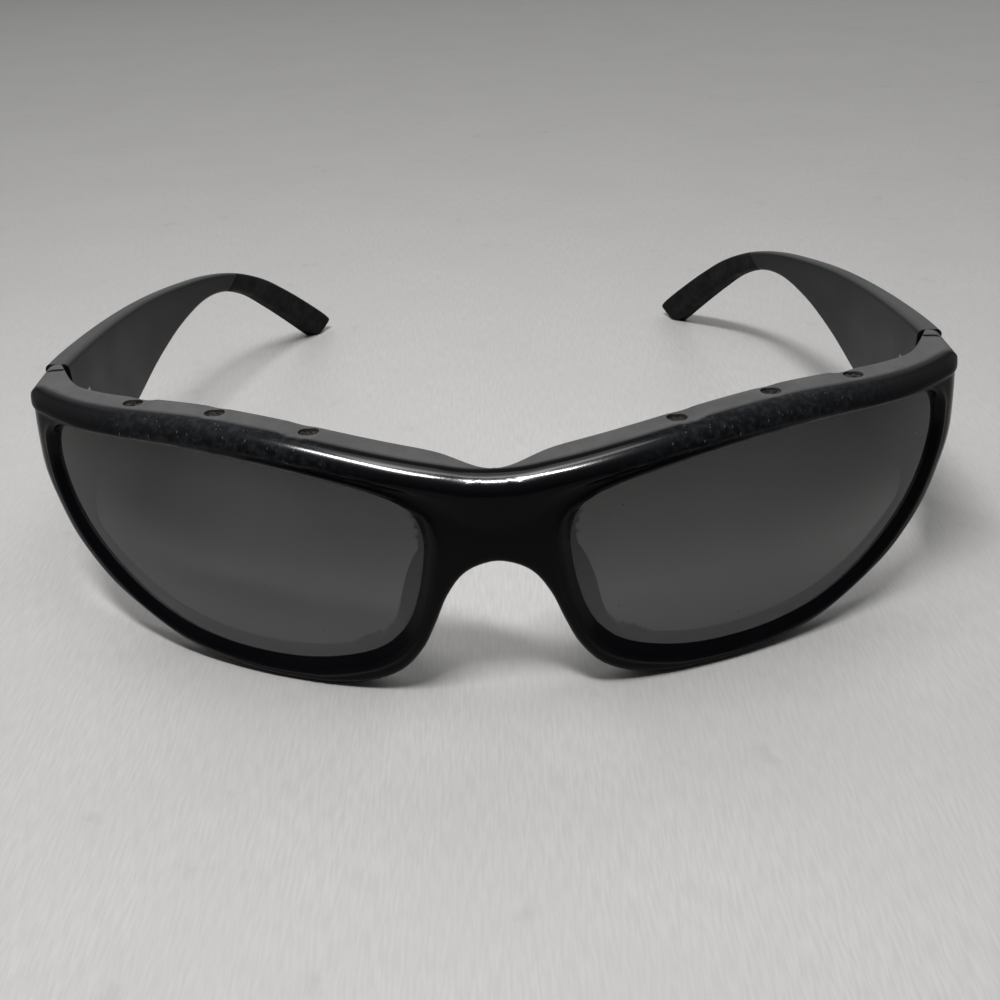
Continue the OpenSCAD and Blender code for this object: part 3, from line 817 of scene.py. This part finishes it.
        # the top face, which takes dust and painted top light
        set_attribute(front, "top", smooth((depth - RIDGE_D + 0.4) / 0.8) * smooth((0.9 - u) / 0.6))
        inside = 1 - smooth((np.abs(depth - 0.8) - 0.6) / 0.5)
        set_attribute(front, "bevel", inside * smooth((u - 3.2) / 0.8) * (1 - smooth((0.4 - depth) / 0.4)))
        # the upper edge of each lens opening, where a painted reflection of the bench goes
        near_lens = to_lens_edge(np.stack([x, z], axis=1))
        lip = smooth((1.1 - near_lens) / 0.85) * smooth((0.05 - depth) / 0.4)
        lip = lip * smooth((z - 24) / 4) * smooth((69 - x) / 5) * smooth((x - 14) / 18)
        set_attribute(front, "lip", lip)


class SUNGLASSES_OT_lenses(bpy.types.Operator):
    """Build the two curved tinted lenses"""
    bl_idname = "sunglasses.lenses"
    bl_label = "Lenses"
    centre = (41.0, 20.0)

    def execute(self, context):
        s = np.arange(STEPS * 8) / 8
        a, b = lens_edge(s), outer_edge(s)
        edge = a + (b - a) * ((GROOVE - 0.1) / np.linalg.norm(b - a, axis=1))[:, None]
        shares = [0.02, *np.linspace(0.08, 1, 16)]
        centre = np.array(self.centre)
        rings = []
        for depth, order in ((LENS_D + LENS_T, shares), (LENS_D, shares[::-1])):
            rings += [on_face(mix(centre, edge, k), depth) for k in order]
        lens = make_object("lens_left_fine", *skin(rings), smooth_angle=40)
        pair(lens, "lens", lens_glass(context.scene.sunglasses_looks), "front", "lens")
        return {"FINISHED"}


class SUNGLASSES_OT_gaskets(bpy.types.Operator):
    """Build the perished foam strips behind the nasal edge of each lens"""
    bl_idname = "sunglasses.gaskets"
    bl_label = "Lens Foam"

    def execute(self, context):
        crumble = context.scene.sunglasses_sizes.foam_crumble / MM
        section = [(-0.1, 0.0), (-0.35, 0.0), (-0.6, 0.0), (-0.85, 0.02), (-0.95, 0.3), (-0.92, 0.62),
                   (-0.7, 0.9), (-0.45, 0.98), (-0.2, 0.9)]
        s = np.arange(21, 33.5, 0.035)
        a, b = lens_edge(s % STEPS), outer_edge(s % STEPS)
        across = (b - a) / np.linalg.norm(b - a, axis=1)[:, None]
        rings = []
        for k in range(len(s)):
            ring = []
            for t, deep in section:
                p = a[k] + across[k] * t
                rough = noise.noise(Vector((p[0] * 1.7, p[1] * 1.7, deep * 2)))
                rough += 0.6 * noise.noise(Vector((p[0] * 5, p[1] * 5, deep * 4)))
                inward = max(0.0, -t - 0.3) * (rough - 0.25) * crumble * 1.9
                p = p - across[k] * inward
                ring.append((p[0], float(wrap_y(p[0], p[1])) + LENS_BACK + max(0, deep + rough * 0.12), p[1]))
            rings.append(ring)
        strip = make_object("lens_gasket_left_fine", *skin(rings), smooth_angle=60)
        material = foam("seal_foam", context.scene.sunglasses_looks.foam_colour, (0.03, 0.028, 0.026), 0.3)
        pair(strip, "lens_gasket", material, "front", "seal_foam", pad=0.25)
        return {"FINISHED"}


class SUNGLASSES_OT_nose_pads(bpy.types.Operator):
    """Build the soft crescents beside the nose"""
    bl_idname = "sunglasses.nose_pads"
    bl_label = "Nose Pads"
    line = np.array([(7.6, 23.4), (8.8, 18.4), (10.6, 13), (13, 8.4), (16.6, 5)])

    def execute(self, context):
        rings = []
        lean = math.radians(28)
        for t in np.linspace(0.97, 0.03, 60):
            i = min(int(t * 4), 3)
            c = curve(*(self.line[min(max(i + k, 0), 4)] for k in (-1, 0, 1, 2)), t * 4 - i)
            swell = math.sin(math.pi * t ** 0.85)
            deep, thick = 0.7 + 3 * swell, 0.5 + 0.85 * swell
            y = float(wrap_y(c[0], c[1])) + RIM_DEPTH + 0.05 + deep
            ring = []
            for k in range(28):
                turn = 2 * math.pi * k / 28
                u, v = deep * math.cos(turn), thick * math.sin(turn)
                ring.append((c[0] + 1.6 * swell + u * math.sin(lean) + v * math.cos(lean),
                             y + u * math.cos(lean) - v * math.sin(lean), c[1]))
            rings.append(ring)
        pad = make_object("nose_pad_left_fine", *skin(rings), smooth_angle=50)
        looks = context.scene.sunglasses_looks
        pair(pad, "nose_pad", rubber("pad_rubber", looks.pad_colour, 0.35), "front", "soft_rubber")
        return {"FINISHED"}


def temple_x(y):
    return TEMPLE_OUT - TIP_BOW * (np.maximum(y - 40, 0) / 106) ** 2.6


def temple_wide(y):
    return mix(TEMPLE_T, TEMPLE_THIN, smooth((y - 42) / 55)) + 1.1 * smooth((y - 112) / 30)


def temple_section(t, inset=0.0, sides=10):
    """A rounded section of a temple, shrunk on every side by inset."""
    last = len(TEMPLE_LINE) - 1
    i = min(int(math.floor(t)), last - 1)
    p = curve(*(TEMPLE_LINE[min(max(i + k, 0), last)] for k in (-1, 0, 1, 2)), t - i)
    up, low = p[:2], p[2:]
    h = np.linalg.norm(up - low)
    y = (p[0] + p[2]) / 2
    wide, tall = temple_wide(y) - 2 * inset, h - 2 * inset
    r = min(1.1, wide * 0.35)
    side, end = wide / 2 - r, tall / 2 - r
    ring = []

    def add(u, v):
        q = mix(low, up, v)
        ring.append((float(temple_x(q[0])) - temple_wide(y) / 2 + u, FRONT_Y + q[0], max(q[1], 0)))

    for quarter, (sx, sz) in enumerate(((1, 1), (-1, 1), (-1, -1), (1, -1))):
        for k in range(sides):
            angle = math.pi / 2 * (quarter + k / sides)
            add(sx * side + r * math.cos(angle), (sz * end + r * math.sin(angle)) / h + 0.5)
        # flat between the rounded corners, in a few strips
        nx, nz = ((-1, 1), (-1, -1), (1, -1), (1, 1))[quarter]
        angle = math.pi / 2 * (quarter + 1)
        for share in (0.25, 0.5, 0.75):
            add(mix(sx * side, nx * side, share) + r * math.cos(angle),
                (mix(sz * end, nz * end, share) + r * math.sin(angle)) / h + 0.5)
    return ring


class SUNGLASSES_OT_temples(bpy.types.Operator):
    """Build the two temples"""
    bl_idname = "sunglasses.temples"
    bl_label = "Temples"

    def execute(self, context):
        rings = [temple_section(t, inset) for t, inset in ((0, 0.35), (0.012, 0.12), (0.045, 0))]
        rings += [temple_section(t) for t in np.arange(0.1, GRIP_START - 0.01, 0.06)]
        tang = 1.0  # how far the tang under the grip lies inside it
        rings += [temple_section(GRIP_START), temple_section(GRIP_START, tang),
                  temple_section(GRIP_START + 0.4, tang)]
        temple = make_object("temple_left_fine", *skin(rings))
        leaf = block((LEAF_X - LEAF_OPEN, AXIS_Y - 2, HINGE_Z + TEMPLE_LEAF_LESS - PLAY),
                     (LEAF_X + LEAF_T + PLAY, AXIS_Y + LEAF_LEN + PLAY,
                      HINGE_Z + HINGE_H - TEMPLE_LEAF_LESS + PLAY))
        cut_away(temple, *leaf)
        cut_away(temple, *barrel_room())
        shade(temple, 32)
        pair(temple, "temple", temple_plastic(context.scene.sunglasses_looks), "temple", "temple_plastic")
        return {"FINISHED"}


class SUNGLASSES_OT_grips(bpy.types.Operator):
    """Build the rubber ear grips"""
    bl_idname = "sunglasses.grips"
    bl_label = "Ear Grips"

    def execute(self, context):
        last = len(TEMPLE_LINE) - 1
        tip = 0.42  # share of the last stretch that the rounded tip takes up
        rings = [temple_section(GRIP_START + 0.02, 0.3), temple_section(GRIP_START + 0.03, 0.08)]
        rings += [temple_section(t) for t in np.arange(GRIP_START + 0.06, last - tip, 0.06)]
        for k in range(10, 91, 10):
            turn = math.radians(k)
            rings.append(temple_section(last - tip + tip * math.sin(turn), 1.25 * (1 - math.cos(turn))))
        grip = make_object("temple_grip_left_fine", *skin(rings), smooth_angle=40)
        looks = context.scene.sunglasses_looks
        pair(grip, "temple_grip", rubber("grip_rubber", looks.grip_colour, 0.5), "temple", "grip_rubber")
        return {"FINISHED"}


class SUNGLASSES_OT_hinges(bpy.types.Operator):
    """Soften the edges of the hinge leaves and screws and give them their steel"""
    bl_idname = "sunglasses.hinges"
    bl_label = "Hinges and Screws"
    edge = 0.06
    same_place = 3e-6  # metres, enough to close the hair-thin steps in the leaves

    def soften(self, bm):
        join_points(bm, self.same_place)
        bmesh.ops.dissolve_limit(bm, angle_limit=math.radians(1), verts=bm.verts, edges=bm.edges)
        sharp = [e for e in bm.edges if e.calc_face_angle(0) > math.radians(40)]
        bmesh.ops.bevel(bm, geom=sharp, offset=self.edge * MM, segments=2, affect="EDGES",
                        clamp_overlap=True)

    def execute(self, context):
        colour = tuple(context.scene.sunglasses_looks.steel_colour)
        leaf = steel("hinge_steel", tuple(c * 0.75 for c in colour), 0.34, (0.2, 0.2, 2))
        screw = steel("screw_steel", colour, 0.26, (1, 1, 1))
        for base, body, material, slot in (
                ("hinge_front_leaf", "front", leaf, "hinge_metal"),
                ("hinge_screw", "front", screw, "screw_metal"),
                ("front_leaf_screws", "front", screw, "screw_metal"),
                ("hinge_temple_leaf", "temple", leaf, "hinge_metal"),
                ("temple_leaf_screws", "temple", screw, "screw_metal")):
            for side in ("left", "right"):
                node = f"{base}_{side}"
                obj = add_object(node + "_fine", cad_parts[node].data.copy())
                edit(obj.data, self.soften)
                shade(obj, 40)
                finish_piece(obj, material, body if body == "front" else f"temple_{side}", slot, node)
        return {"FINISHED"}


class SUNGLASSES_OT_vent_foams(bpy.types.Operator):
    """Build the pitted foam in the vent holes"""
    bl_idname = "sunglasses.vent_foams"
    bl_label = "Vent Foam"
    gap, deep = 0.08, 3.6

    def execute(self, context):
        looks = context.scene.sunglasses_looks
        material = foam("vent_foam", looks.foam_colour, (0.075, 0.062, 0.05), 0.42)
        for name, x in zip(VENT_NAMES, VENT_XS):
            top = float(top_z(x))
            centre = (x, float(wrap_y(x, top)) + VENT_D)
            length, width = VENT_LEN - self.gap, VENT_W - self.gap
            points, _ = obround(length, width, 0, 1, centre, sides=16)
            ring = points[:len(points) // 2, :2]
            rings = [[(px, py, top - depth) for px, py in ring] for depth in (self.deep, 0.65)]
            for share in np.linspace(0.95, 0.06, 12):
                row = []
                for px, py in ring:
                    qx, qy = mix(centre[0], px, share), mix(centre[1], py, share)
                    pit = noise.noise(Vector((qx * 3.1, qy * 3.1, x)))
                    pit += 0.5 * noise.noise(Vector((qx * 7, qy * 7, x)))
                    row.append((qx, qy, top - 0.6 - 0.4 * max(0.0, pit + 0.1) + 0.08 * min(pit, 0)))
                rings.append(row)
            plug = make_object(f"vent_foam_{name}_left_fine", *skin(rings), smooth_angle=35)
            pair(plug, f"vent_foam_{name}", material, "front", "vent_foam", pad=0.35)
        return {"FINISHED"}


class SUNGLASSES_OT_stage(bpy.types.Operator):
    """Set up the pale bench, the soft lamps and the camera"""
    bl_idname = "sunglasses.stage"
    bl_label = "Stage"
    camera_place = (0.00232, -0.20679, 0.11363)
    camera_turn = (-0.677, 30.839, 2.567)  # degrees: yaw, pitch, roll
    sky_span, sky_strengths = (-0.7, 0.75), (0.03, 0.41)  # from the front's side to the back

    def lamp(self, name, place, aim, size, power):
        light = bpy.data.lights.new(name, "AREA")
        light.shape, light.size, light.size_y = "RECTANGLE", size[0], size[1]
        light.energy = power
        obj = add_object(name, light)
        obj.location = place
        obj.rotation_euler = (Vector(aim) - Vector(place)).to_track_quat("-Z", "Y").to_euler()

    def execute(self, context):
        scene, stage = context.scene, context.scene.sunglasses_stage
        floor = make_object("bench_top", *block((-2200, -1800, -20), (2200, 3200, 0)))
        floor.data.materials.append(bench(stage))
        self.lamp("overhead", (-0.08, -0.17, 0.5), (0, -0.06, 0.02), (0.2, 0.05), stage.overhead_power)
        self.lamp("top", (-0.01, -0.03, 0.22), (0, -0.05, 0), (0.08, 0.08), stage.top_power)
        for side in (-1, 1):
            self.lamp("back_left" if side > 0 else "back_right", (side * 0.42, 0.55, 0.6), (0, -0.02, 0.02),
                      (0.35, 0.35), stage.back_power)
        world = bpy.data.worlds.new("studio")
        scene.world = world
        world.use_nodes = True
        nodes, links = world.node_tree.nodes, world.node_tree.links
        place = nodes.new("ShaderNodeTexCoord")
        split = nodes.new("ShaderNodeSeparateXYZ")
        ramp = nodes.new("ShaderNodeMapRange")
        ramp.interpolation_type = "SMOOTHSTEP"
        for value, socket in zip((*self.sky_span, *self.sky_strengths), list(ramp.inputs)[1:5]):
            socket.default_value = value
        links.new(place.outputs["Generated"], split.inputs[0])
        links.new(split.outputs["Y"], ramp.inputs[0])
        links.new(ramp.outputs[0], nodes["Background"].inputs["Strength"])
        nodes["Background"].inputs["Color"].default_value = (0.97, 0.985, 1, 1)
        data = bpy.data.cameras.new("camera")
        data.lens, data.sensor_width = stage.camera_lens, 36
        data.clip_start, data.clip_end = 0.01, 20
        camera = add_object("camera", data)
        yaw, pitch, roll = (math.radians(d) for d in self.camera_turn)
        forward = Vector((math.sin(yaw) * math.cos(pitch), math.cos(yaw) * math.cos(pitch), -math.sin(pitch)))
        level = Vector((math.cos(yaw), -math.sin(yaw), 0))
        down = forward.cross(level)
        right = math.cos(roll) * level + math.sin(roll) * down
        up = math.sin(roll) * level - math.cos(roll) * down
        turn = Matrix((right, up, -forward)).transposed().to_4x4()
        camera.matrix_world = Matrix.Translation(self.camera_place) @ turn
        scene.camera = camera
        scene.view_settings.view_transform = "Standard"
        return {"FINISHED"}


class SUNGLASSES_PT_panel(bpy.types.Panel):
    """Buttons for the sunglasses' pieces and their sizes and colours"""
    bl_label = "Sunglasses"
    bl_idname = "SUNGLASSES_PT_panel"
    bl_space_type = "VIEW_3D"
    bl_region_type = "UI"
    bl_category = "Sunglasses"

    def draw(self, context):
        column = self.layout.column(align=True)
        for operator in OPERATORS:
            column.operator(operator.bl_idname)
        scene = context.scene
        for group in (scene.sunglasses_sizes, scene.sunglasses_looks, scene.sunglasses_stage):
            box = self.layout.box()
            for name in type(group).__annotations__:
                box.prop(group, name)


OPERATORS = (SUNGLASSES_OT_front, SUNGLASSES_OT_lenses, SUNGLASSES_OT_gaskets, SUNGLASSES_OT_nose_pads,
             SUNGLASSES_OT_temples, SUNGLASSES_OT_grips, SUNGLASSES_OT_hinges, SUNGLASSES_OT_vent_foams,
             SUNGLASSES_OT_stage)
GROUPS = (SunglassesSizes, SunglassesLooks, SunglassesStage)


def register():
    for cls in (*GROUPS, *OPERATORS, SUNGLASSES_PT_panel):
        bpy.utils.register_class(cls)
    bpy.types.Scene.sunglasses_sizes = PointerProperty(type=SunglassesSizes)
    bpy.types.Scene.sunglasses_looks = PointerProperty(type=SunglassesLooks)
    bpy.types.Scene.sunglasses_stage = PointerProperty(type=SunglassesStage)


def unregister():
    del bpy.types.Scene.sunglasses_sizes, bpy.types.Scene.sunglasses_looks, bpy.types.Scene.sunglasses_stage
    for cls in (SUNGLASSES_PT_panel, *OPERATORS[::-1], *GROUPS[::-1]):
        bpy.utils.unregister_class(cls)


def main():
    register()
    bpy.ops.sunglasses.front()
    bpy.ops.sunglasses.lenses()
    bpy.ops.sunglasses.gaskets()
    bpy.ops.sunglasses.nose_pads()
    bpy.ops.sunglasses.temples()
    bpy.ops.sunglasses.grips()
    bpy.ops.sunglasses.hinges()
    bpy.ops.sunglasses.vent_foams()
    bpy.ops.sunglasses.stage()


if __name__ == "__main__":
    main()
